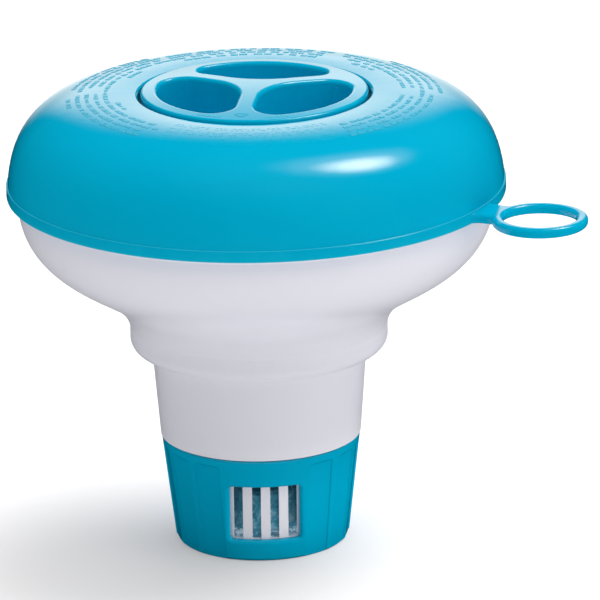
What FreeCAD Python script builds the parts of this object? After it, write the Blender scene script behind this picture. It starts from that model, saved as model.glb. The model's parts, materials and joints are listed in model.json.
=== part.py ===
"""Floating chlorine dispenser for a pool: a hollow float with a tablet chamber down its middle.

Frame: +Z up, origin at the centre of the flat base, millimetres. The tether ring points along +X.
All angles are in degrees about +Z, counted from +X.
"""
import FreeCAD
import Part
import os
from math import cos, pi, radians, sin, tan

Vector = FreeCAD.Vector
UP = Vector(0, 0, 1)
BASE_CENTRE = Vector(0, 0, 0)

# Driving dimensions
WALL = 2.3                    # float shells
RUNNING_GAP = 0.4             # between pieces that move past each other

BAND_R = 88.4                 # widest part of the float, the weld band round it
BAND_BOTTOM = 129.0
BAND_TOP = 133.0
BAND_LEDGE_DROP = 0.2         # slope of the narrow ledge on top of the band
DOME_SHOULDER_R = 87.95       # dome where it meets the band
PLATEAU_R = 41.4              # recess in the top that the cap sits in
PLATEAU_Z = 164.6

BOWL_TOP_R = 84.6
CYLINDER_R = 45.9             # short cylinder below the bowl
BOWL_BOTTOM = 80.0            # where the bowl runs into the cylinder
CYLINDER_FILLET = 4.5
CYLINDER_BOTTOM = 71.0
STEM_TOP_R = 38.3
STEM_BOTTOM_R = 35.8
STEM_BOTTOM = 39.3

COLLAR_TOP_R = 35.5
COLLAR_BOTTOM_R = 31.0
COLLAR_HEIGHT = 38.7
COLLAR_WALL = 2.1
COLLAR_FLOOR = 2.2
VENT_CENTRE = -61.0           # window in the collar, and another opposite
WINDOW_HALF_WIDTH = 12.2
WINDOW_BOTTOM = 7.9
WINDOW_TOP = 28.6
WINDOW_ROUND = 1.4            # rounding of its outer edges
VENTS = 2

BASKET_BOTTOM = 4.6
BASKET_FLOOR = 2.0
BASKET_WALL = 1.8
SPIGOT_TOP = 52.0             # basket's upper end, inside the stem
SLOT_CENTRE = -60.4           # middle of a group of slots in the basket, all cut in that one direction
SLOT_PITCH = 6.4
SLOT_WIDTH = 3.1
SLOTS = 4
SLOT_BOTTOM = 7.8
SLOT_TOP = 30.0

NECK_OUTER_R = 42.9
NECK_BOTTOM = 142.0
SEAT_Z = 160.5                # ledge that the cap's seal presses on
NECK_BORE_R = 40.3
NECK_THREAD_R = 39.0          # a 76 mm tablet passes
THREAD_STARTS = 3
THREAD_LEAD = 12.0
RIDGE_ROOT = 1.4              # axial width of a thread ridge at the wall and at its tip
RIDGE_TIP = 0.9
RIDGE_OVERLAP = 0.5           # depth that a ridge is sunk in its wall

CAP_R = 40.2
CAP_UNDERSIDE = 162.3
CAP_EDGE_Z = 165.6
CAP_CROWN = 2.0               # height of the cap's middle above its edge
CAP_TOP_THICKNESS = 3.0
SKIRT_R = 38.6
SKIRT_WALL = 1.6
SKIRT_BOTTOM = 150.0
CAP_THREAD_R = 39.9
LOBE_ANGLES = (109.5, 229.5, 349.5)
LOBE_R = 34.3                 # pockets reach out to this radius
LOBE_APEX = 4.0               # where a pocket's two straight sides would meet
LOBE_NOSE_R = 22.0            # rounding of that corner
LOBE_CORNER_R = 7.5
POCKET_FLOOR = 149.0
POCKET_WALL = 1.5
POCKET_RIM_ROUND = 1.4        # rounding of the pockets' mouths

RING_CENTRE_X = 110.4
RING_HOLE_R = 12.9
RING_SECTION = 3.8
RING_HEIGHT = 3.6
RING_ROUND = 1.5              # rounding of the ring's edges

TABLET_R = 12.7               # 1-inch tablets
TABLET_HEIGHT = 15.0
TABLET_CIRCLE_R = 14.9
TABLETS_PER_LAYER = 3
TABLET_LAYERS = 2
RIB_TOP = 9.8                 # ribs on the basket's floor keep the tablets off it


def point(radius, height):
    """A point of a profile, in the plane that is turned about the Z axis."""
    return Vector(radius, 0, height)


def turn(shape, degrees):
    """A copy of a shape, turned about the Z axis."""
    copy = shape.copy()
    copy.rotate(BASE_CENTRE, UP, degrees)
    return copy


def lines(points):
    return [Part.makeLine(a, b) for a, b in zip(points, points[1:])]


def curve(points):
    """One Bezier curve through its end points, pulled by the points between them."""
    bezier = Part.BezierCurve()
    bezier.setPoles(points)
    return bezier.toShape()


def revolve(edges):
    """A solid of revolution from the edges of a closed profile."""
    profile = Part.Face(Part.Wire(Part.__sortEdges__(edges)))
    return profile.revolve(BASE_CENTRE, UP, 360)


def revolve_points(points):
    return revolve(lines(points + points[:1]))


def join(first, *others):
    return first.fuse(list(others)).removeSplitter()


def ring(inner, outer, bottom, top):
    return revolve_points([point(inner, bottom), point(outer, bottom), point(outer, top), point(inner, top)])


def sector(half_angle, inner, outer, bottom, top):
    """A block between two radii and two heights, centred on +X."""
    edge = tan(radians(half_angle))
    outline = [
        Vector(inner, -inner * edge, bottom),
        Vector(outer, -outer * edge, bottom),
        Vector(outer, outer * edge, bottom),
        Vector(inner, inner * edge, bottom),
    ]
    face = Part.Face(Part.makePolygon(outline + outline[:1]))
    return face.extrude(Vector(0, 0, top - bottom))


def save(shape, name):
    """Write a node, which has to be one valid solid."""
    if not shape.isValid() or len(shape.Solids) != 1:
        raise ValueError(f"{name}: valid {shape.isValid()}, solids {len(shape.Solids)}")
    shape.exportStep(f"parts/{name}.step")


def thread_ridges(wall_r, tip_r, start_z, sweep, start_angle):
    """Ridges of a screw thread, one per start, on the cylindrical wall of radius wall_r."""
    outward = 1 if tip_r > wall_r else -1
    root_r = wall_r - outward * RIDGE_OVERLAP
    section = Part.makePolygon([
        point(root_r, -RIDGE_ROOT / 2),
        point(root_r, RIDGE_ROOT / 2),
        point(wall_r, RIDGE_ROOT / 2),
        point(tip_r, RIDGE_TIP / 2),
        point(tip_r, -RIDGE_TIP / 2),
        point(wall_r, -RIDGE_ROOT / 2),
        point(root_r, -RIDGE_ROOT / 2),
    ])
    helix = Part.makeHelix(THREAD_LEAD, THREAD_LEAD * sweep / 360, wall_r)
    ridge = Part.Wire(helix.Edges).makePipeShell([section], True, True)
    ridge.translate(Vector(0, 0, start_z))
    return [turn(ridge, start_angle + start * 360 / THREAD_STARTS) for start in range(THREAD_STARTS)]


def stem_radius(height):
    slope = (STEM_TOP_R - STEM_BOTTOM_R) / (CYLINDER_BOTTOM - STEM_BOTTOM)
    return STEM_BOTTOM_R + slope * (height - STEM_BOTTOM)


def collar_radius(height):
    return COLLAR_BOTTOM_R + (COLLAR_TOP_R - COLLAR_BOTTOM_R) * height / COLLAR_HEIGHT


# Float: the lip of the bowl stands in a groove under the dome's edge, where the two are welded
LIP_R = 85.8
LIP_GAP = 0.1
LIP_BOTTOM = 127.4
WELD_Z = 130.9
DOME_RIM_R = 83.7             # inside of the dome above the weld
FEED_TUBE_R = 42.3
FEED_TUBE_BORE_R = 40.3
LEDGE_Z = 73.2                # inside the float's cylinder, where the feed tube stands


def float_dome():
    """Upper half of the float: a domed cover with a recess in its middle for the cap."""
    outer = [
        curve([
            point(PLATEAU_R + 0.6, PLATEAU_Z),
            point(76.5, PLATEAU_Z + 1.7),
            point(DOME_SHOULDER_R - 1.8, 153.2),
            point(DOME_SHOULDER_R, BAND_TOP),
        ]),
    ]
    outer += lines([
        point(DOME_SHOULDER_R, BAND_TOP),
        point(BAND_R, BAND_TOP - BAND_LEDGE_DROP),
        point(BAND_R, BAND_BOTTOM + 0.4),
        point(BAND_R - 0.4, BAND_BOTTOM),
        point(LIP_R + LIP_GAP, BAND_BOTTOM),
        point(LIP_R + LIP_GAP, WELD_Z),
        point(DOME_RIM_R, WELD_Z),
        point(DOME_RIM_R, BAND_TOP + 2),
    ])
    inner = [
        curve([
            point(DOME_RIM_R, BAND_TOP + 2),
            point(DOME_SHOULDER_R - 1.8 - WALL, 151.2),
            point(75.5, PLATEAU_Z + 1.7 - WALL),
            point(NECK_OUTER_R, PLATEAU_Z - WALL),
        ]),
    ]
    inner += lines([
        point(NECK_OUTER_R, PLATEAU_Z - WALL),
        point(NECK_OUTER_R, SEAT_Z),
        point(PLATEAU_R, SEAT_Z),
        point(PLATEAU_R, PLATEAU_Z - 0.6),
        point(PLATEAU_R + 0.6, PLATEAU_Z),
    ])
    return revolve(outer + inner)


# Thread ridges: at rest the cap's run just under the neck's
NECK_THREAD_Z = 153.6
NECK_THREAD_SWEEP = 84
CAP_THREAD_DROP = THREAD_LEAD / THREAD_STARTS / 2
CAP_THREAD_SWEEP = 76


def filler_neck():
    """Threaded tube under the recess. The tablets go in through it."""
    tube = ring(NECK_BORE_R, NECK_OUTER_R, NECK_BOTTOM, SEAT_Z)
    return join(tube, *thread_ridges(NECK_BORE_R, NECK_THREAD_R, NECK_THREAD_Z, NECK_THREAD_SWEEP, 0))


def float_bowl():
    """Lower half of the float."""
    outer = [
        curve([
            point(BOWL_TOP_R, LIP_BOTTOM),
            point(84.0, 96.5),
            point(49.3, 98.6),
            point(CYLINDER_R, BOWL_BOTTOM),
        ]),
    ]
    outer += lines([
        point(CYLINDER_R, BOWL_BOTTOM),
        point(CYLINDER_R - WALL, BOWL_BOTTOM),
        point(CYLINDER_R - WALL, BOWL_BOTTOM + 0.6),
    ])
    inner = [
        curve([
            point(CYLINDER_R - WALL, BOWL_BOTTOM + 0.6),
            point(46.6, 101.0),
            point(81.9, 98.4),
            point(BOWL_TOP_R - WALL, LIP_BOTTOM),
        ]),
    ]
    inner += lines([
        point(BOWL_TOP_R - WALL, LIP_BOTTOM),
        point(BOWL_TOP_R - WALL, WELD_Z),
        point(LIP_R, WELD_Z),
        point(LIP_R, LIP_BOTTOM + 1.2),
        point(BOWL_TOP_R, LIP_BOTTOM),
    ])
    return revolve(outer + inner)


def float_cylinder():
    """Short cylinder below the bowl, with the ledge inside it that the feed tube stands on."""
    fillet_end = CYLINDER_R - CYLINDER_FILLET
    quarter = CYLINDER_FILLET * (1 - cos(pi / 4))
    outer_fillet = Part.Arc(
        point(CYLINDER_R, CYLINDER_BOTTOM + CYLINDER_FILLET),
        point(CYLINDER_R - quarter, CYLINDER_BOTTOM + quarter),
        point(fillet_end, CYLINDER_BOTTOM),
    ).toShape()
    ledge_r = stem_radius(LEDGE_Z) - WALL
    profile = lines([
        point(fillet_end, CYLINDER_BOTTOM),
        point(ledge_r, CYLINDER_BOTTOM),
        point(ledge_r, LEDGE_Z),
        point(CYLINDER_R - WALL, LEDGE_Z),
        point(CYLINDER_R - WALL, BOWL_BOTTOM),
        point(CYLINDER_R, BOWL_BOTTOM),
        point(CYLINDER_R, CYLINDER_BOTTOM + CYLINDER_FILLET),
    ])
    profile.append(outer_fillet)
    return revolve(profile)


def float_stem():
    """Tapered stem below the cylinder."""
    return revolve_points([
        point(STEM_BOTTOM_R, STEM_BOTTOM),
        point(STEM_TOP_R, CYLINDER_BOTTOM),
        point(STEM_TOP_R - WALL, CYLINDER_BOTTOM),
        point(STEM_BOTTOM_R - WALL, STEM_BOTTOM),
    ])


def feed_tube():
    """Tube between the neck and the ledge. It keeps the air chamber sealed from the tablets."""
    return ring(FEED_TUBE_BORE_R, FEED_TUBE_R, LEDGE_Z, NECK_BOTTOM)


# Snap post in the middle of the collar's floor, which holds the collar on the basket
POST_R = 6.0
POST_BORE_R = 4.2
BARB_R = 7.0
POST_TOP = 9.4
HUB_HOLE_R = 6.4
POST_SLIT = 1.2

# The key under the basket's floor runs between two stops on the collar's floor
STOP_INNER_R = 18.0
STOP_OUTER_R = 22.0
KEY_HALF_ANGLE = 5.0
STOP_HALF_ANGLE = 4.0
STOP_CLEARANCE = 1.2
COLLAR_TRAVEL = 45.0
KEY_ANGLE = VENT_CENTRE + 90
BRIDGE = 0.2                  # depth that a raised detail is sunk into its floor


def basket_outer_radius(height):
    return collar_radius(height) - COLLAR_WALL - RUNNING_GAP


def vent_basket():
    """Slotted basket at the bottom of the stem, which lets the water in to the tablets."""
    bottom_r = basket_outer_radius(BASKET_BOTTOM)
    neck_r = basket_outer_radius(COLLAR_HEIGHT)
    spigot_gap = WALL + 0.1
    spigot_low_r = STEM_BOTTOM_R - spigot_gap
    spigot_top_r = stem_radius(SPIGOT_TOP) - spigot_gap
    floor_top = BASKET_BOTTOM + BASKET_FLOOR
    shell = revolve_points([
        point(HUB_HOLE_R, BASKET_BOTTOM),
        point(bottom_r - 0.8, BASKET_BOTTOM),
        point(bottom_r, BASKET_BOTTOM + 0.8),
        point(neck_r, COLLAR_HEIGHT),
        point(spigot_low_r, STEM_BOTTOM + 0.3),
        point(spigot_top_r, SPIGOT_TOP - 0.6),
        point(spigot_top_r - 0.6, SPIGOT_TOP),
        point(spigot_top_r - BASKET_WALL, SPIGOT_TOP),
        point(neck_r - BASKET_WALL, COLLAR_HEIGHT),
        point(bottom_r - BASKET_WALL, floor_top),
        point(HUB_HOLE_R, floor_top),
    ])
    slots = []
    for index in range(SLOTS):
        middle = (index - (SLOTS - 1) / 2) * SLOT_PITCH
        corner = Vector(20, middle - SLOT_WIDTH / 2, SLOT_BOTTOM)
        slot = Part.makeBox(20, SLOT_WIDTH, SLOT_TOP - SLOT_BOTTOM, corner)
        slots += [turn(slot, SLOT_CENTRE + vent * 360 / VENTS) for vent in range(VENTS)]
    drain = Part.makeCylinder(1.7, 8, Vector(14.0, 0, BASKET_BOTTOM - 3))
    drains = [turn(drain, 30 + 60 * index) for index in range(6)]
    outer_drain = Part.makeCylinder(1.7, 8, Vector(22.5, 0, BASKET_BOTTOM - 3))
    drains += [turn(outer_drain, 15 + 30 * index) for index in range(12)]
    rib = Part.makeBox(16.5, 1.6, RIB_TOP - floor_top + BRIDGE, Vector(9.5, -0.8, floor_top - BRIDGE))
    ribs = [turn(rib, 60 * index) for index in range(6)]
    key = ring(STOP_INNER_R, STOP_OUTER_R, COLLAR_FLOOR + 0.6, BASKET_BOTTOM + BRIDGE)
    key = key.common(sector(KEY_HALF_ANGLE, 5, 40, 0, 10))
    return join(shell.cut(slots + drains), turn(key, KEY_ANGLE), *ribs)


GRIP_PANELS = 6               # between one window and the next
PANEL_START = 25.0            # from the window's middle to the first panel's edge
PANEL_WIDTH = 9.6
PANEL_DEPTH = 0.75
PANEL_TOP = 35.4


def grip_panel():
    """Cutter for one flat finger grip on the collar, facing +X and leaning with the cone, with bevelled sides."""
    slope = (COLLAR_TOP_R - COLLAR_BOTTOM_R) / COLLAR_HEIGHT
    low, high, reach = -6.0, PANEL_TOP, 6.0
    flat_low = collar_radius(low) - PANEL_DEPTH
    flat_high = collar_radius(high) - PANEL_DEPTH
    section = [
        Vector(flat_low, -PANEL_WIDTH / 2, low),
        Vector(flat_low + reach, -PANEL_WIDTH / 2 - reach, low),
        Vector(flat_low + reach, PANEL_WIDTH / 2 + reach, low),
        Vector(flat_low, PANEL_WIDTH / 2, low),
    ]
    height = 60.0
    lean = Vector(height * slope, 0, height)
    channel = Part.Face(Part.makePolygon(section + section[:1])).extrude(lean)
    side = [
        Vector(flat_low - 3, -20, low),
        Vector(flat_low + 30, -20, low),
        Vector(flat_high + 30, -20, high + 30),
        Vector(flat_high - 3, -20, high - 3),
    ]
    below_top = Part.Face(Part.makePolygon(side + side[:1])).extrude(Vector(0, 40, 0))
    return channel.common(below_top)


def window_cutter():
    """Cutter for one window, facing +X, with rounded corners."""
    corner = Vector(20, -WINDOW_HALF_WIDTH, WINDOW_BOTTOM)
    block = Part.makeBox(25, 2 * WINDOW_HALF_WIDTH, WINDOW_TOP - WINDOW_BOTTOM, corner)
    long_edges = []
    for edge in block.Edges:
        first, last = edge.Vertexes[0].Point, edge.Vertexes[-1].Point
        if abs(first.z - last.z) < 0.01 and abs(first.x - last.x) > 1:
            long_edges.append(edge)
    return block.makeFillet(1.2, long_edges)


def soften_windows(shell):
    """Round the outer edges of the windows, which are the only edges on the cone between its ends."""
    edges = []
    for edge in shell.Edges:
        ends = [vertex.Point for vertex in edge.Vertexes]
        middle = edge.valueAt((edge.FirstParameter + edge.LastParameter) / 2)
        samples = ends + [middle]
        on_cone = all(abs(collar_radius(p.z) - (p.x ** 2 + p.y ** 2) ** 0.5) < 0.02 for p in samples)
        inside = all(WINDOW_BOTTOM - 0.1 < p.z < WINDOW_TOP + 0.1 for p in samples)
        if on_cone and inside and len(ends) > 1:
            edges.append(edge)
    return shell.makeFillet(WINDOW_ROUND, edges)


def dosing_collar():
    """Turning collar. Its windows are moved across the basket's slots to set the dose."""
    inner_top_r = COLLAR_TOP_R - COLLAR_WALL
    inner_low_r = collar_radius(COLLAR_FLOOR) - COLLAR_WALL
    shell = revolve_points([
        point(0, 0),
        point(COLLAR_BOTTOM_R - 0.9, 0),
        point(collar_radius(0.9), 0.9),
        point(collar_radius(COLLAR_HEIGHT - 0.5), COLLAR_HEIGHT - 0.5),
        point(COLLAR_TOP_R - 0.5, COLLAR_HEIGHT),
        point(inner_top_r, COLLAR_HEIGHT),
        point(inner_low_r, COLLAR_FLOOR),
        point(0, COLLAR_FLOOR),
    ])
    pitch = (360 / VENTS - 2 * PANEL_START) / GRIP_PANELS
    panel = grip_panel()
    panels = []
    windows = []
    for vent in range(VENTS):
        middle = VENT_CENTRE + vent * 360 / VENTS
        windows.append(turn(window_cutter(), middle))
        for index in range(GRIP_PANELS):
            panels.append(turn(panel, middle + PANEL_START + (index + 0.5) * pitch))
    body = soften_windows(shell.cut(windows))
    drain = Part.makeCylinder(2.0, 8, Vector(25, 0, -3))
    drains = [turn(drain, KEY_ANGLE + 30 * index) for index in range(12)]
    post = revolve_points([
        point(POST_BORE_R, COLLAR_FLOOR - BRIDGE),
        point(POST_R, COLLAR_FLOOR - BRIDGE),
        point(POST_R, BASKET_BOTTOM + BASKET_FLOOR + 0.4),
        point(BARB_R, BASKET_BOTTOM + BASKET_FLOOR + 0.8),
        point(POST_R - 0.2, POST_TOP),
        point(POST_BORE_R, POST_TOP),
    ])
    slit = Part.makeBox(30, POST_SLIT, 10, Vector(-15, -POST_SLIT / 2, COLLAR_FLOOR + 0.6))
    post = post.cut([slit, turn(slit, 90)])
    stop = ring(STOP_INNER_R, STOP_OUTER_R, COLLAR_FLOOR - BRIDGE, BASKET_BOTTOM - 0.6)
    stop = stop.common(sector(STOP_HALF_ANGLE, 5, 40, 0, 10))
    reach = KEY_HALF_ANGLE + STOP_HALF_ANGLE + STOP_CLEARANCE
    stops = [turn(stop, KEY_ANGLE + reach), turn(stop, KEY_ANGLE - COLLAR_TRAVEL - reach)]
    return join(body.cut(panels + drains), post, *stops)


def tether_ring():
    """Eye for a tether, on a short neck that is moulded to the float's band."""
    hole_r = RING_HOLE_R
    outer_r = RING_HOLE_R + RING_SECTION
    bottom = BAND_BOTTOM
    centre = Vector(RING_CENTRE_X, 0, bottom)
    eye = Part.makeCylinder(outer_r, RING_HEIGHT, centre)
    neck_end = RING_CENTRE_X - outer_r
    side = [
        (BAND_R - 2.0, 11.0),
        (BAND_R + 0.6, 5.6),
        (neck_end + 2.0, 7.2),
    ]
    left = curve([Vector(x, y, bottom) for x, y in side])
    right = curve([Vector(x, -y, bottom) for x, y in reversed(side)])
    start, end = side[0], side[-1]
    edges = [
        left,
        Part.makeLine(Vector(end[0], end[1], bottom), Vector(end[0], -end[1], bottom)),
        right,
        Part.makeLine(Vector(start[0], -start[1], bottom), Vector(start[0], start[1], bottom)),
    ]
    neck = Part.Face(Part.Wire(edges)).extrude(Vector(0, 0, RING_HEIGHT))
    band = Part.makeCylinder(BAND_R, 20, Vector(0, 0, bottom - 5))
    hole = Part.makeCylinder(hole_r, RING_HEIGHT, centre)
    body = join(eye, neck).cut([band, hole])
    rims = []
    for edge in body.Edges:
        box = edge.BoundBox
        far_from_band = box.XMax > BAND_R + 3
        if box.ZLength < 0.01 and far_from_band:
            rims.append(edge)
    return body.makeFillet(RING_ROUND, rims)


def lobe(outer_r, apex, bottom, top, nose_r, corner_r):
    """A pocket's shape facing +X: a third of a disc with its three corners rounded."""
    wedge_reach = 60
    wedge = Part.makePolygon([
        Vector(apex, 0, bottom),
        Vector(apex + wedge_reach, -wedge_reach * tan(radians(60)), bottom),
        Vector(apex + wedge_reach, wedge_reach * tan(radians(60)), bottom),
        Vector(apex, 0, bottom),
    ])
    block = Part.Face(wedge).extrude(Vector(0, 0, top - bottom))
    block = block.common(Part.makeCylinder(outer_r, top - bottom, Vector(0, 0, bottom)))
    corners = []
    for edge in block.Edges:
        box = edge.BoundBox
        upright = box.ZLength > 1 and box.XLength < 0.01 and box.YLength < 0.01
        if upright and abs(box.YMin) > 0.01:
            corners.append(edge)
    block = block.makeFillet(corner_r, corners)
    nose = []
    for edge in block.Edges:
        box = edge.BoundBox
        if box.ZLength > 1 and abs(box.XMin - apex) < 0.01 and box.XLength < 0.01:
            nose.append(edge)
    return block.makeFillet(nose_r, nose)


def screw_cap():
    """Cap with a threaded skirt and three pockets for the fingers that turn it."""
    crown_z = CAP_EDGE_Z + CAP_CROWN
    edge_round = 1.2
    shoulder = CAP_R - edge_round
    skirt_bore = SKIRT_R - SKIRT_WALL
    mid_z = CAP_EDGE_Z + CAP_CROWN * 0.75
    top = [
        Part.Arc(point(0, crown_z), point(shoulder / 2, mid_z), point(shoulder, CAP_EDGE_Z)).toShape(),
        Part.Arc(
            point(shoulder, CAP_EDGE_Z),
            point(CAP_R - 0.35, CAP_EDGE_Z - 0.35),
            point(CAP_R, CAP_EDGE_Z - edge_round),
        ).toShape(),
    ]
    under_z = crown_z - CAP_TOP_THICKNESS
    top += lines([
        point(CAP_R, CAP_EDGE_Z - edge_round),
        point(CAP_R, CAP_UNDERSIDE),
        point(SKIRT_R, CAP_UNDERSIDE),
        point(SKIRT_R, SKIRT_BOTTOM + 0.8),
        point(SKIRT_R - 0.8, SKIRT_BOTTOM),
        point(skirt_bore, SKIRT_BOTTOM),
        point(skirt_bore, CAP_UNDERSIDE),
        point(0, under_z),
        point(0, crown_z),
    ])
    cup = lobe(LOBE_R + POCKET_WALL, LOBE_APEX - 1.7, POCKET_FLOOR - POCKET_WALL, CAP_EDGE_Z - 0.3,
               LOBE_NOSE_R + POCKET_WALL, LOBE_CORNER_R + POCKET_WALL)
    pocket = lobe(LOBE_R, LOBE_APEX, POCKET_FLOOR, crown_z + 5, LOBE_NOSE_R, LOBE_CORNER_R)
    floor_edges = [edge for edge in pocket.Edges if edge.BoundBox.ZMax < POCKET_FLOOR + 0.01]
    pocket = pocket.makeFillet(2.0, floor_edges)
    cups = [turn(cup, angle) for angle in LOBE_ANGLES]
    pockets = [turn(pocket, angle) for angle in LOBE_ANGLES]
    ridges = thread_ridges(SKIRT_R, CAP_THREAD_R, NECK_THREAD_Z - CAP_THREAD_DROP, CAP_THREAD_SWEEP, 4)
    body = join(revolve(top), *cups).cut(pockets)
    mouths = []
    for edge in body.Edges:
        box = edge.BoundBox
        reach = max(abs(box.XMin), abs(box.XMax), abs(box.YMin), abs(box.YMax))
        if box.ZMin > CAP_EDGE_Z - 0.5 and reach < LOBE_R + 0.5 and box.DiagonalLength > 0.5:
            mouths.append(edge)
    body = body.makeFillet(POCKET_RIM_ROUND, mouths)
    return join(body, *ridges)


def cap_seal():
    """Rubber ring between the cap's flange and the seat in the neck."""
    return ring(SKIRT_R + 0.35, PLATEAU_R - RUNNING_GAP, SEAT_Z, CAP_UNDERSIDE)


def tablet(layer, index):
    """One slow-dissolving tablet, lying flat in the basket."""
    bottom = RIB_TOP + layer * TABLET_HEIGHT
    angle = radians(VENT_CENTRE + layer * 60 + index * 360 / TABLETS_PER_LAYER)
    centre = Vector(TABLET_CIRCLE_R * cos(angle), TABLET_CIRCLE_R * sin(angle), bottom)
    disc = Part.makeCylinder(TABLET_R, TABLET_HEIGHT, centre)
    rims = [edge for edge in disc.Edges if edge.BoundBox.ZLength < 0.01]
    return disc.makeChamfer(1.2, rims)


os.makedirs("parts", exist_ok=True)
save(float_dome(), "float_dome")
save(filler_neck(), "filler_neck")
save(float_bowl(), "float_bowl")
save(float_cylinder(), "float_cylinder")
save(float_stem(), "float_stem")
save(feed_tube(), "feed_tube")
save(vent_basket(), "vent_basket")
save(dosing_collar(), "dosing_collar")
save(tether_ring(), "tether_ring")
save(screw_cap(), "screw_cap")
save(cap_seal(), "cap_seal")
for layer in range(TABLET_LAYERS):
    for index in range(TABLETS_PER_LAYER):
        save(tablet(layer, index), f"tablet_{layer * TABLETS_PER_LAYER + index + 1}")
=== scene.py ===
import json
import random
from math import cos, degrees, pi, radians, sin

import bmesh
import bpy
from mathutils import Matrix, Vector
from mathutils.bvhtree import BVHTree


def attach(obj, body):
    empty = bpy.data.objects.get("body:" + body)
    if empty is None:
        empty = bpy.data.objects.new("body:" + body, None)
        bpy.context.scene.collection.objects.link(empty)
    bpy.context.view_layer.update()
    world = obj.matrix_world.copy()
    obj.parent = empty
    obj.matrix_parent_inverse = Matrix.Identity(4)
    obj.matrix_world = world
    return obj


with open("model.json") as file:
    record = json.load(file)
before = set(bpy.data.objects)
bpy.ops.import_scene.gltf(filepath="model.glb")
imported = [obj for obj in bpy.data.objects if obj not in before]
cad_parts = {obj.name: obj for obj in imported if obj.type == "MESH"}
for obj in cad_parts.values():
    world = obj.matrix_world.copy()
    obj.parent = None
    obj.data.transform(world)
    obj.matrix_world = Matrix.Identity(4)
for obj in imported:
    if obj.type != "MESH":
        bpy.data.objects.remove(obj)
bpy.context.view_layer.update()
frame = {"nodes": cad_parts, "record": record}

MM = 0.001


# Camera, at the photograph's viewing angle. Angles are in degrees and lengths in metres.

VIEW_AZIMUTH = 27.5
VIEW_ELEVATION = 16.7
VIEW_ROLL = 1.0
VIEW_DISTANCE = 2.2
IMAGE_WIDTH = 600
PIXELS_PER_METRE = 2826        # the picture's scale at the object's axis
SENSOR_WIDTH = 36.0
CLIP_END = 20
TARGET_HEIGHT = 0.130          # height of the point on the axis that the camera is placed from
AIM_RIGHT = 0.0154             # how far the picture's middle is to the right of that point
AIM_DOWN = 0.0404              # and below it


def around(azimuth, elevation):
    """Unit vector at an azimuth to the right of straight behind the object, as the camera sees it."""
    turned = radians(VIEW_AZIMUTH - azimuth)
    level = cos(radians(elevation))
    return Vector((-sin(turned) * level, cos(turned) * level, sin(radians(elevation))))


def make_camera():
    azimuth, elevation = radians(VIEW_AZIMUTH), radians(VIEW_ELEVATION)
    back = Vector((sin(azimuth) * cos(elevation), -cos(azimuth) * cos(elevation), sin(elevation)))
    target = Vector((0, 0, TARGET_HEIGHT))
    position = target + back * VIEW_DISTANCE
    roll = Matrix.Rotation(radians(-VIEW_ROLL), 3, "Z")
    rolled = (-back).to_track_quat("-Z", "Y").to_matrix() @ roll
    aim = target + rolled.col[0] * AIM_RIGHT - rolled.col[1] * AIM_DOWN
    facing = (aim - position).to_track_quat("-Z", "Y").to_matrix() @ roll
    data = bpy.data.cameras.new("camera")
    data.sensor_width = SENSOR_WIDTH
    data.lens = SENSOR_WIDTH * PIXELS_PER_METRE * VIEW_DISTANCE / IMAGE_WIDTH
    data.clip_end = CLIP_END
    camera = bpy.data.objects.new("camera", data)
    camera.matrix_world = Matrix.Translation(position) @ facing.to_4x4()
    bpy.context.scene.collection.objects.link(camera)
    bpy.context.scene.camera = camera


# Lamps. They shade the surfaces but leave no highlight: the world does that.

ABOVE = (1.0, 1.0, 0.95)
WARM = (1.0, 0.98, 0.92)


def make_lamp(name, colour, width, height, radiance, direction, distance, aim_height=0.1, spread=180):
    """An elliptical soft box in a direction from a point on the object's axis, facing that point."""
    data = bpy.data.lights.new(name, "AREA")
    data.shape = "ELLIPSE"
    data.size, data.size_y = width, height
    data.color = colour
    data.energy = radiance * pi * (pi * width * height / 4)
    data.spread = radians(spread)
    lamp = bpy.data.objects.new(name, data)
    lamp.location = Vector((0, 0, aim_height)) + direction * distance
    lamp.rotation_mode = "QUATERNION"
    lamp.rotation_quaternion = (-direction).to_track_quat("-Z", "Y")
    lamp.visible_glossy = False
    bpy.context.scene.collection.objects.link(lamp)


def make_lamps():
    make_lamp("overhead", ABOVE, width=2.4, height=2.4, radiance=1.75,
              direction=around(170, 80), distance=1.8)
    make_lamp("right", WARM, width=1.6, height=1.6, radiance=0.7,
              direction=around(125, 30), distance=2.0)
    make_lamp("right_low", WARM, width=0.16, height=0.02, radiance=0.5,
              direction=around(118, 2), distance=0.6, aim_height=0.014, spread=6)


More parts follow.
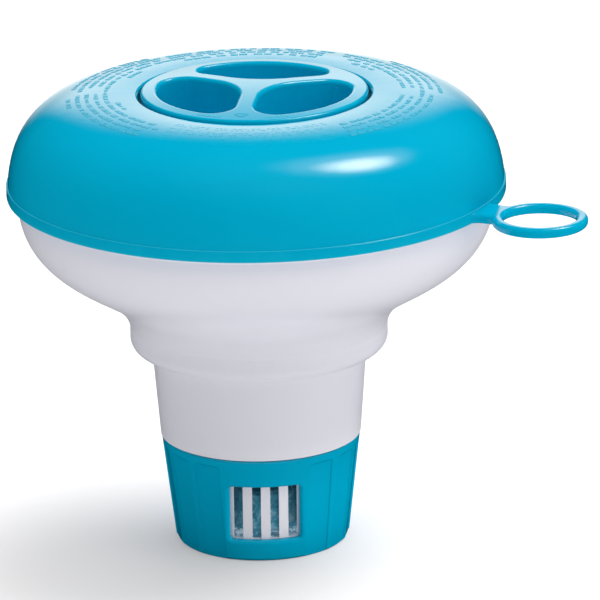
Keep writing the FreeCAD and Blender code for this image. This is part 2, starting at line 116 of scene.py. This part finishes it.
class Nodes:
    """Shorthand for building a node tree."""

    def __init__(self, tree):
        self.tree = tree

    def add(self, kind, inputs=None, **settings):
        node = self.tree.nodes.new(kind)
        for name, value in settings.items():
            setattr(node, name, value)
        for name, value in (inputs or {}).items():
            self.put(node.inputs[name], value)
        return node

    def put(self, socket, value):
        if isinstance(value, bpy.types.NodeSocket):
            self.tree.links.new(value, socket)
        else:
            socket.default_value = value

    def math(self, operation, *values):
        node = self.add("ShaderNodeMath", operation=operation)
        for socket, value in zip(node.inputs, values):
            self.put(socket, value)
        return node.outputs[0]

    def ramp(self, value, low, high, to_low=0.0, to_high=1.0):
        """Smooth step of a value from low to high."""
        node = self.add("ShaderNodeMapRange", interpolation_type="SMOOTHSTEP")
        for name, setting in zip(("Value", "From Min", "From Max", "To Min", "To Max"),
                                 (value, low, high, to_low, to_high)):
            self.put(node.inputs[name], setting)
        return node.outputs["Result"]

    def dot(self, vector, fixed):
        node = self.add("ShaderNodeVectorMath", operation="DOT_PRODUCT")
        self.put(node.inputs[0], vector)
        node.inputs[1].default_value = fixed
        return node.outputs["Value"]

    def glow(self, strength):
        return self.add("ShaderNodeEmission", {"Color": (1, 1, 1, 1), "Strength": strength}).outputs[0]

    def blend(self, share, first, second):
        """The first shader, giving way to the second as the share goes from 0 to 1."""
        return self.add("ShaderNodeMixShader", {0: share, 1: first, 2: second}).outputs[0]

    def angle_from(self, direction, centre):
        return self.math("DEGREES", self.math("ARCCOSINE", self.dot(direction, centre)))

    def angle_aside(self, ahead, side):
        """Degrees to the left or right of straight behind the object."""
        return self.math("DEGREES", self.math("ABSOLUTE", self.math("ARCTAN2", side, ahead)))


# World. What glossy surfaces mirror is a bright panel behind the object and a soft box high on the right.

PANEL_FULL, PANEL_NONE = 5.0, 20.0             # degrees aside at which the panel is full, and has faded out
PANEL_TOP_FULL, PANEL_TOP_NONE = 10.0, 38.0    # the same, upwards
PANEL_LOW, PANEL_PEAK = 1.35, 2.1              # its radiance at the horizon, and where it is brightest
PANEL_PEAK_START, PANEL_PEAK_END = 4.0, 14.0   # elevations over which it gets there
SPOT = around(71.5, 62.3)                      # the soft box that makes the highlight
SPOT_RADIANCE = 14.0
SPOT_FULL, SPOT_NONE = 2.0, 15.5               # degrees from its middle
HALO = around(66, 64)                          # a wide faint glow behind it
HALO_RADIANCE = 2.2
HALO_FULL, HALO_NONE = 8.0, 24.0
MIRRORED_COLOUR = (1.0, 0.83, 0.68)
FILL_FRONT, FILL_BACK = 0.44, 1.35             # fill from the camera's side and from the backdrop's
FILL_TURN_START, FILL_TURN_END = -0.4, 0.8     # how far ahead a direction points, from one to the other
FILL_LEFT = 0.54                               # its strength from the left, as a share of the right's
FILL_SIDE_START, FILL_SIDE_END = -0.9, 0.3     # how far right a direction points, from one to the other
FILL_COLOUR = (0.97, 0.97, 1.0)


def mirrored_radiance(nodes, direction, ahead, side):
    elevation = nodes.math("DEGREES", nodes.math("ARCSINE", nodes.dot(direction, (0, 0, 1))))
    across = nodes.ramp(nodes.angle_aside(ahead, side), PANEL_FULL, PANEL_NONE, 1.0, 0.0)
    top = nodes.ramp(elevation, PANEL_TOP_FULL, PANEL_TOP_NONE, 1.0, 0.0)
    level = nodes.ramp(elevation, PANEL_PEAK_START, PANEL_PEAK_END, PANEL_LOW, PANEL_PEAK)
    panel = nodes.math("MULTIPLY", across, nodes.math("MULTIPLY", top, level))
    spot = nodes.ramp(nodes.angle_from(direction, SPOT), SPOT_FULL, SPOT_NONE, SPOT_RADIANCE, 0.0)
    halo = nodes.ramp(nodes.angle_from(direction, HALO), HALO_FULL, HALO_NONE, HALO_RADIANCE, 0.0)
    return nodes.math("ADD", panel, nodes.math("ADD", spot, halo))


def make_world():
    """White backdrop to the camera, soft fill for shading, and what the glossy surfaces mirror."""
    world = bpy.data.worlds.new("studio")
    bpy.context.scene.world = world
    world.use_nodes = True
    world.node_tree.nodes.clear()
    nodes = Nodes(world.node_tree)
    direction = nodes.add("ShaderNodeTexCoord").outputs["Generated"]
    ahead = nodes.dot(direction, around(0, 0))
    side = nodes.dot(direction, around(90, 0))
    gloss = mirrored_radiance(nodes, direction, ahead, side)
    by_depth = nodes.ramp(ahead, FILL_TURN_START, FILL_TURN_END, FILL_FRONT, FILL_BACK)
    by_side = nodes.ramp(side, FILL_SIDE_START, FILL_SIDE_END, FILL_LEFT, 1.0)
    soft = nodes.math("MULTIPLY", by_depth, by_side)
    fill = nodes.add("ShaderNodeBackground", {"Color": (*FILL_COLOUR, 1), "Strength": soft})
    mirrored = nodes.add("ShaderNodeBackground", {"Color": (*MIRRORED_COLOUR, 1), "Strength": gloss})
    backdrop = nodes.add("ShaderNodeBackground", {"Color": (1, 1, 1, 1), "Strength": 1.0})
    rays = nodes.add("ShaderNodeLightPath")
    lit = nodes.blend(rays.outputs["Is Glossy Ray"], fill.outputs[0], mirrored.outputs[0])
    seen = nodes.blend(rays.outputs["Is Camera Ray"], lit, backdrop.outputs[0])
    nodes.add("ShaderNodeOutputWorld", {"Surface": seen})


# Floor. Camera rays, mirror rays and all others each see a glow of their own, set to match the photograph.
# It is clear from below and open under the base, so that a view from below shows the base.

FLOOR_HALF = 4.0
FLOOR_HEIGHT = -0.1 * MM       # just under the base
FOOTPRINT_RADIUS = 28.5 * MM
FLOOR_COLOUR = (0.52, 0.515, 0.52)
CAST_GLOW = 0.50               # glow that lights the object from the floor
CAST_LEFT = 0.78               # its strength on the left, as a share of the right's
CAST_SIDE_START, CAST_SIDE_END = -0.3, 0.05    # places to the right of the axis, from one to the other
CAST_START, CAST_FULL = 0.03, 0.16             # distances from the axis over which it grows
# Camera rays see a painted shadow on the floor, centred left of and in front of the base.
SHADE_CENTRE = around(90, 0) * -0.050 - around(0, 0) * 0.035
SHADE_GLOW, OPEN_GLOW = 0.24, 0.68             # glow that the camera sees, low in a painted shadow and full in the open
SHADE_START, SHADE_END = 0.02, 0.13            # distances from the painted shadow's centre between the two
MIRRORED_NEAR, MIRRORED_FAR = 0.5, 0.9         # distances between which mirror rays start to see the panel
MIRRORED_GLOW = 1.3


def floor_paper():
    material = bpy.data.materials.new("floor_paper")
    material.use_nodes = True
    material.node_tree.nodes.clear()
    nodes = Nodes(material.node_tree)
    place = nodes.add("ShaderNodeTexCoord").outputs["Object"]
    distance = nodes.add("ShaderNodeVectorMath", {0: place}, operation="LENGTH").outputs["Value"]
    ahead = nodes.dot(place, around(0, 0))
    side = nodes.dot(place, around(90, 0))
    rays = nodes.add("ShaderNodeLightPath")
    paper = nodes.add("ShaderNodeBsdfDiffuse", {"Color": (*FLOOR_COLOUR, 1)})
    by_distance = nodes.ramp(distance, CAST_START, CAST_FULL, 0.0, CAST_GLOW)
    by_side = nodes.ramp(side, CAST_SIDE_START, CAST_SIDE_END, CAST_LEFT, 1.0)
    cast = nodes.math("MULTIPLY", by_distance, by_side)
    from_shade = nodes.add("ShaderNodeVectorMath", {0: place, 1: SHADE_CENTRE}, operation="DISTANCE")
    # Painted shadow: what the camera sees of the floor is dimmer near the shadow's centre.
    shade = nodes.ramp(from_shade.outputs["Value"], SHADE_START, SHADE_END, SHADE_GLOW, OPEN_GLOW)
    by_ray = nodes.add("ShaderNodeMix", {0: rays.outputs["Is Camera Ray"], "A": cast, "B": shade})
    seen = nodes.add("ShaderNodeAddShader", {0: paper.outputs[0], 1: nodes.glow(by_ray.outputs["Result"])})
    across = nodes.ramp(nodes.angle_aside(ahead, side), PANEL_FULL, PANEL_NONE, 1.0, 0.0)
    far = nodes.ramp(distance, MIRRORED_NEAR, MIRRORED_FAR, 0.0, MIRRORED_GLOW)
    behind = nodes.math("MULTIPLY", across, far)
    mixed = nodes.blend(rays.outputs["Is Glossy Ray"], seen.outputs[0], nodes.glow(behind))
    clear = nodes.add("ShaderNodeBsdfTransparent")
    below = nodes.add("ShaderNodeNewGeometry").outputs["Backfacing"]
    covered = nodes.math("LESS_THAN", distance, FOOTPRINT_RADIUS)
    one_sided = nodes.blend(nodes.math("MAXIMUM", below, covered), mixed, clear.outputs[0])
    nodes.add("ShaderNodeOutputMaterial", {"Surface": one_sided})
    return material


def make_floor():
    mesh = bpy.data.meshes.new("floor")
    corners = ((-1, -1), (1, -1), (1, 1), (-1, 1))
    mesh.from_pydata([(x * FLOOR_HALF, y * FLOOR_HALF, FLOOR_HEIGHT) for x, y in corners], [], [(0, 1, 2, 3)])
    mesh.materials.append(floor_paper())
    floor = bpy.data.objects.new("floor", mesh)
    bpy.context.scene.collection.objects.link(floor)


# Materials. Every texture is in the object's own coordinates, in metres.

PLASTICS = {                   # colour, its paler tone on rubbed edges, its deeper tone, roughness, wear
    "blue_plastic": ((0.0, 0.415, 0.64), (0.0, 0.52, 0.72), (0.0, 0.40, 0.63), 0.06, 0.5),
    "white_plastic": ((0.88, 0.88, 0.96), (0.92, 0.92, 0.97), (0.86, 0.86, 0.94), 0.3, 0.5),
    "mark_plastic": ((0.0, 0.40, 0.60), (0.0, 0.44, 0.64), (0.0, 0.38, 0.58), 0.3, 0.4),
    # The next two are paler blues for the beads round the float's widest edge: painted highlight lines.
    "highlight_bead": ((0.0, 0.50, 0.70), (0.0, 0.56, 0.76), (0.0, 0.48, 0.68), 0.45, 0.5),
    "highlight_rim": ((0.05, 0.58, 0.75), (0.08, 0.62, 0.80), (0.03, 0.55, 0.72), 0.45, 0.5),
}
EDGE_START, EDGE_FULL = 0.53, 0.60             # pointiness over which an edge counts as rubbed
EDGE_ROUGHER = 0.06
CLOUD_SMOOTHER, CLOUD_ROUGHER = 0.015, 0.025   # how far the flow clouds shift the roughness
RUBBER_DARK, RUBBER_DUSTY = (0.006, 0.045, 0.07), (0.015, 0.09, 0.13)
POWDER_DAMP, POWDER_MIDDLE = (0.015, 0.20, 0.32), (0.09, 0.40, 0.54)
POWDER_DRY, CRUMB_DRY = (0.46, 0.76, 0.87), (0.80, 0.90, 0.95)
DAMP_STOP, MIDDLE_STOP, DRY_STOP = 0.38, 0.52, 0.66
LUMP_SHARE, SPECK_SHARE = 0.75, 0.25
SHADING_LOW, SHADING_HIGH = 12 * MM, 24 * MM         # heights over which the powder goes from painted light low down to painted shade higher up
# brightness added low down as painted light, and taken off higher up as painted shade
PAINTED_LIGHT_BELOW, PAINTED_SHADE_ABOVE = 0.065, -0.03


def start_material(name):
    material = bpy.data.materials.new(name)
    material.use_nodes = True
    material.node_tree.nodes.clear()
    nodes = Nodes(material.node_tree)
    place = nodes.add("ShaderNodeTexCoord").outputs["Object"]
    shader = nodes.add("ShaderNodeBsdfPrincipled")
    nodes.add("ShaderNodeOutputMaterial", {"Surface": shader.outputs[0]})
    return material, nodes, place, shader


def noise(nodes, place, scale, detail, rough=0.5, distortion=0.0):
    node = nodes.add("ShaderNodeTexNoise", {"Scale": scale, "Detail": detail, "Roughness": rough,
                                            "Distortion": distortion})
    nodes.put(node.inputs["Vector"], place)
    return node.outputs["Fac"]


def mix_colour(nodes, share, first, second):
    """A colour between two, each of them a fixed (r, g, b) or another node's output."""
    node = nodes.add("ShaderNodeMix", {0: share}, data_type="RGBA")
    for socket, colour in (("A", first), ("B", second)):
        nodes.put(node.inputs[socket], (*colour, 1) if isinstance(colour, tuple) else colour)
    return node.outputs["Result"]


def add_bump(nodes, shader, height, strength, distance):
    bump = nodes.add("ShaderNodeBump", {"Strength": strength, "Distance": distance, "Height": height})
    nodes.put(shader.inputs["Normal"], bump.outputs[0])


def moulded_plastic(name, colour, pale, deep, roughness, wear):
    """Injection-moulded polypropylene: faint flow clouds, fine grain, edges rubbed paler."""
    material, nodes, place, shader = start_material(name)
    clouds = noise(nodes, place, scale=16, detail=3, rough=0.55, distortion=0.6)
    edge = nodes.ramp(nodes.add("ShaderNodeNewGeometry").outputs["Pointiness"], EDGE_START, EDGE_FULL)
    tone = mix_colour(nodes, nodes.ramp(clouds, 0.3, 0.7), deep, colour)
    nodes.put(shader.inputs["Base Color"], mix_colour(nodes, nodes.math("MULTIPLY", edge, wear), tone, pale))
    cloudy = nodes.ramp(clouds, 0.25, 0.75, roughness - CLOUD_SMOOTHER, roughness + CLOUD_ROUGHER)
    rubbed = nodes.math("MULTIPLY", edge, EDGE_ROUGHER)
    nodes.put(shader.inputs["Roughness"], nodes.math("ADD", cloudy, rubbed))
    add_bump(nodes, shader, noise(nodes, place, scale=2600, detail=2), strength=0.03, distance=0.0002)
    return material


def seal_rubber():
    """Dull rubber with a little dust on it."""
    material, nodes, place, shader = start_material("seal_rubber")
    dust = noise(nodes, place, scale=220, detail=4, rough=0.6)
    tone = mix_colour(nodes, nodes.ramp(dust, 0.45, 0.75), RUBBER_DARK, RUBBER_DUSTY)
    nodes.put(shader.inputs["Base Color"], tone)
    nodes.put(shader.inputs["Roughness"], nodes.ramp(dust, 0.3, 0.7, 0.6, 0.85))
    shader.inputs["Specular IOR Level"].default_value = 0.15
    add_bump(nodes, shader, noise(nodes, place, scale=900, detail=3), strength=0.3, distance=0.0003)
    return material


def pressed_powder(name, dry, glow):
    """Blue-tinted chlorine powder, damp and crumbly. Its glow stands for light that soaks through it."""
    material, nodes, place, shader = start_material(name)
    lumps = noise(nodes, place, scale=130, detail=5, rough=0.65, distortion=0.8)
    specks = noise(nodes, place, scale=900, detail=3, rough=0.6)
    mottled = nodes.math("ADD", nodes.math("MULTIPLY", lumps, LUMP_SHARE),
                         nodes.math("MULTIPLY", specks, SPECK_SHARE))
    # Painted light and shade by height: the powder is paler low in the basket and deeper higher up.
    painted_light_and_shade = nodes.ramp(nodes.dot(place, (0, 0, 1)), SHADING_LOW, SHADING_HIGH, PAINTED_LIGHT_BELOW, PAINTED_SHADE_ABOVE)
    tone = nodes.add("ShaderNodeValToRGB", {0: nodes.math("ADD", mottled, painted_light_and_shade)})
    stops = tone.color_ramp.elements
    stops[0].position, stops[0].color = DAMP_STOP, (*POWDER_DAMP, 1)
    stops[1].position, stops[1].color = DRY_STOP, (*dry, 1)
    stops.new(MIDDLE_STOP).color = (*POWDER_MIDDLE, 1)
    nodes.put(shader.inputs["Base Color"], tone.outputs["Color"])
    nodes.put(shader.inputs["Emission Color"], tone.outputs["Color"])
    shader.inputs["Emission Strength"].default_value = glow
    shader.inputs["Roughness"].default_value = 0.75
    add_bump(nodes, shader, mottled, strength=0.7, distance=0.0008)
    return material


def make_materials():
    made = {name: moulded_plastic(name, *look) for name, look in PLASTICS.items()}
    made["seal_rubber"] = seal_rubber()
    made["tablet_powder"] = pressed_powder("tablet_powder", POWDER_DRY, glow=0.04)
    made["crumbled_powder"] = pressed_powder("crumbled_powder", CRUMB_DRY, glow=0.22)
    return made


def paint_nodes(materials):
    """Each CAD node takes the material of its slot in the record."""
    for part in frame["record"]["subparts"]:
        for slot in frame["nodes"][part["node"]].material_slots:
            slot.link = "OBJECT"
            slot.material = materials[part["material_slot"]]


def place_piece(name, mesh, body, material):
    """Turns a bmesh into a piece of the object that moves with a body."""
    data = bpy.data.meshes.new(name)
    mesh.to_mesh(data)
    mesh.free()
    data.materials.append(material)
    piece = bpy.data.objects.new(name, data)
    bpy.context.scene.collection.objects.link(piece)
    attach(piece, body)


# Raised marks: rows of small bars in place of the moulded text, which isn't copied.
# Lengths without MM beside them are in millimetres, and angles in degrees.

MARK_HEIGHT = 0.13 * MM
FINE_MARK_HEIGHT = 0.07 * MM
MARK_SINK = 0.15 * MM          # how far a mark's foot goes into the surface
MARK_SLOPE = 0.2 * MM          # how far its top is inside its foot
MOST_SLOPE = 0.4               # the most that may be, as a share of the way to its middle
DROP_HEIGHT = 200 * MM         # above the whole object
MARK_SEED = 11
ROW_START = 49.3               # radius of the innermost row
ROW_PITCH = 3.28
LATE_START, EARLY_END = 3, 6   # the most that a row is cut short at its two ends
BAR_LENGTH = 1.7               # along the radius
BAR_WIDTH = (1.9, 3.6)         # along the row
BAR_GAP = 0.35
BAR_SHORTER = (0, 0, 0.15, 0.3)                # how much shorter a bar may be at its inner end
OUTER_SHARE = 0.6                              # and at its outer end, as a share of that
GROUP_BARS = (1, 3)            # fewest and most bars in a group
GROUP_GAP = (1.0, 1.9)         # extra gap after a group
BLOCKS = (                     # rows, the azimuths that they run between, and the scale of their bars
    ((0,), 219, 234, 1), ((1, 2, 3, 4), 203, 260, 1), ((5,), 204, 218, 1),
    ((1, 2, 3, 4, 5), 152, 198, 1), ((0,), 170, 186, 1),
    ((1, 2, 3, 4), -31, 22, 1),
    ((1, 2, 3), 28, 84, 1), ((4, 5), 28, 66, 1), ((0,), 57, 73, 1),
    ((0, 1, 2, 3), 88, 148, 1),
)
FINE_BLOCKS = (((-1, 0, 2, 3, 4, 6, 7, 8), 262, 329, 0.5),)


class Marks:
    """Small raised shapes standing on a CAD node's upper surface, gathered in one mesh."""

    def __init__(self, node, height):
        self.mesh = bmesh.new()
        self.height = height
        source = bmesh.new()
        source.from_mesh(frame["nodes"][node].data)
        self.tree = BVHTree.FromBMesh(source)
        source.free()

    def drop(self, x, y, lift):
        """A point at a lift above the surface, at a place seen from above."""
        hit = self.tree.ray_cast(Vector((x, y, DROP_HEIGHT)), Vector((0, 0, -1)))[0]
        return Vector((x, y, hit.z + lift))

    def block(self, outline):
        """A raised patch from a convex outline of (x, y) points in metres, counted anticlockwise."""
        middle = sum((Vector(corner) for corner in outline), Vector((0, 0))) / len(outline)
        low = [self.mesh.verts.new(self.drop(x, y, -MARK_SINK)) for x, y in outline]
        high = []
        for corner in outline:
            inward = middle - Vector(corner)
            x, y = Vector(corner) + inward * min(MOST_SLOPE, MARK_SLOPE / inward.length)
            high.append(self.mesh.verts.new(self.drop(x, y, self.height)))
        self.mesh.faces.new(high)
        self.mesh.faces.new(low[::-1])
        for index in range(len(outline)):
            after = (index + 1) % len(outline)
            self.mesh.faces.new((low[index], low[after], high[after], high[index]))

    def bar(self, inner, outer, start, end):
        """A bar between two radii and two azimuths."""
        corners = ((inner, start), (outer, start), (outer, end), (inner, end))
        self.block([(radius * MM * cos(radians(angle)), radius * MM * sin(radians(angle)))
                    for radius, angle in corners])

    def finish(self, name, body, material):
        place_piece(name, self.mesh, body, material)


def add_rows(marks, blocks):
    """Rows of bars in groups, each row about as ragged as a line of text."""
    draw = random.Random(MARK_SEED)
    for rows, start, end, scale in blocks:
        for row in rows:
            middle = ROW_START + row * ROW_PITCH * scale
            half = BAR_LENGTH * scale / 2
            per_mm = degrees(1 / middle)
            angle = start + draw.uniform(0, LATE_START)
            last = end - draw.uniform(0, EARLY_END)
            while angle < last:
                for bar in range(draw.randint(*GROUP_BARS)):
                    width = draw.uniform(*BAR_WIDTH) * scale
                    short = draw.choice(BAR_SHORTER) * scale
                    marks.bar(middle - half + short, middle + half - short * OUTER_SHARE,
                              angle, angle + width * per_mm)
                    angle += (width + BAR_GAP) * per_mm
                angle += draw.uniform(*GROUP_GAP) * per_mm


def add_dome_marks(name, blocks, height, material):
    marks = Marks("float_dome", height)
    add_rows(marks, blocks)
    marks.finish(name, "float", material)


ARROW_AZIMUTH = 289.5          # the spoke between the two front pockets
ARROW_TIP, ARROW_BASE = 36.6, 33.6             # radii
ARROW_HALF_WIDTH = 2.6
ARROW_STROKE = 0.55            # half the thickness of its two arms, and all of its base's
BASE_HALF_WIDTH = 2.2
CAP_ROW_RADIUS = 37.2
CAP_ROW_STARTS = (-24, 13)     # from the arrowhead
CAP_ROW_BARS = 6
CAP_ROW_PITCH = 1.5
CAP_BAR_WIDTH = 1.05
CAP_BAR_HALF = 0.7             # half its length along the radius


def add_cap_marks(material):
    """A small arrowhead on the cap's rim, with a short row of bars on each side."""
    marks = Marks("screw_cap", MARK_HEIGHT)
    centre = radians(ARROW_AZIMUTH)
    out = Vector((cos(centre), sin(centre)))
    across = Vector((-out.y, out.x))
    stroke = out * ARROW_STROKE * MM
    tip, base = out * ARROW_TIP * MM, out * ARROW_BASE * MM
    for side in (1, -1):
        foot = base + across * side * ARROW_HALF_WIDTH * MM
        line = [tip, tip - stroke * 2, foot - stroke, foot + stroke]
        marks.block(line if side == 1 else line[::-1])
    half = across * BASE_HALF_WIDTH * MM
    marks.block([base - stroke + half, base - stroke - half, base - half, base + half])
    per_mm = degrees(1 / CAP_ROW_RADIUS)
    for start in CAP_ROW_STARTS:
        for index in range(CAP_ROW_BARS):
            angle = ARROW_AZIMUTH + start + index * CAP_ROW_PITCH * per_mm
            marks.bar(CAP_ROW_RADIUS - CAP_BAR_HALF, CAP_ROW_RADIUS + CAP_BAR_HALF,
                      angle, angle + CAP_BAR_WIDTH * per_mm)
    marks.finish("cap_marks", "cap", material)


# Beads round the float's widest edge, in paler blues that paint highlight lines there: radius and height of
# the middle, half width and half height, mm

BAND_BEAD = (87.98, 132.95, 0.16, 0.18)
RIM_BEAD = (88.1, 129.2, 0.24, 0.2)
BEAD_POINTS = 10
BEAD_SIDES = 256


def bead_section(radius, height, half_width, half_height):
    turns = [2 * pi * step / BEAD_POINTS for step in range(BEAD_POINTS)]
    return [(radius + half_width * cos(turn), height + half_height * sin(turn)) for turn in turns]


def add_bead(name, section, material):
    """A ring turned about the Z axis from a closed section of (radius, height) points."""
    mesh = bmesh.new()
    rows = []
    for side in range(BEAD_SIDES):
        angle = 2 * pi * side / BEAD_SIDES
        rows.append([mesh.verts.new((radius * MM * cos(angle), radius * MM * sin(angle), height * MM))
                     for radius, height in section])
    for side in range(BEAD_SIDES):
        here, after = rows[side], rows[(side + 1) % BEAD_SIDES]
        for index in range(len(section)):
            follow = (index + 1) % len(section)
            mesh.faces.new((here[index], after[index], after[follow], here[follow])).smooth = True
    bmesh.ops.recalc_face_normals(mesh, faces=mesh.faces)
    place_piece(name, mesh, "float", material)


# Crumbs. Lengths are in millimetres.

CRUMB_COUNT = 900
CRUMB_SEED = 5
CRUMB_INNER, CRUMB_OUTER = 10.0, 27.0          # the ring of the basket's floor that they lie on
CRUMB_CROWDING = 0.6                           # under 1, so that they crowd towards the wall
CRUMB_FLOOR = 6.65
CRUMB_SIZE = (0.5, 1.5)
CRUMB_REST = 0.4                               # its middle above its rest, as a share of its size
HEAP_HEIGHT, HEAP_RISE = 0.4, 2.2              # the heap's height at its inner edge, and its rise to the wall
DENT = 0.12                                    # how far a corner moves, as a share of the crumb's size
DENT_UP = 0.6                                  # share of that upwards


def add_crumbs(material):
    """Crumbled tablet and undissolved powder, heaped between the basket's wall and the tablets."""
    mesh = bmesh.new()
    draw = random.Random(CRUMB_SEED)
    for crumb in range(CRUMB_COUNT):
        radius = CRUMB_INNER + (CRUMB_OUTER - CRUMB_INNER) * draw.random() ** CRUMB_CROWDING
        angle = draw.uniform(0, 2 * pi)
        size = draw.uniform(*CRUMB_SIZE)
        heap = HEAP_HEIGHT + HEAP_RISE * (radius - CRUMB_INNER) / (CRUMB_OUTER - CRUMB_INNER)
        height = CRUMB_FLOOR + size * CRUMB_REST + draw.uniform(0, heap)
        centre = Vector((radius * cos(angle), radius * sin(angle), height))
        spot = Matrix.Translation(centre * MM) @ Matrix.Rotation(draw.uniform(0, pi), 4, "Z")
        made = bmesh.ops.create_icosphere(mesh, subdivisions=1, radius=size * 0.5 * MM, matrix=spot)
        for vertex in made["verts"]:
            dent = Vector((draw.uniform(-1, 1), draw.uniform(-1, 1), draw.uniform(-DENT_UP, DENT_UP)))
            vertex.co += dent * size * DENT * MM
    place_piece("crumbs", mesh, "float", material)


bpy.context.scene.view_settings.view_transform = "Standard"
make_camera()
make_world()
make_floor()
make_lamps()
materials = make_materials()
paint_nodes(materials)
add_dome_marks("dome_marks", BLOCKS, MARK_HEIGHT, materials["mark_plastic"])
add_dome_marks("fine_marks", FINE_BLOCKS, FINE_MARK_HEIGHT, materials["blue_plastic"])
add_cap_marks(materials["blue_plastic"])
# Painted highlight lines: paler beads along the top and bottom of the float's edge band.
add_bead("band_bead", bead_section(*BAND_BEAD), materials["highlight_bead"])
add_bead("rim_bead", bead_section(*RIM_BEAD), materials["highlight_rim"])
add_crumbs(materials["crumbled_powder"])
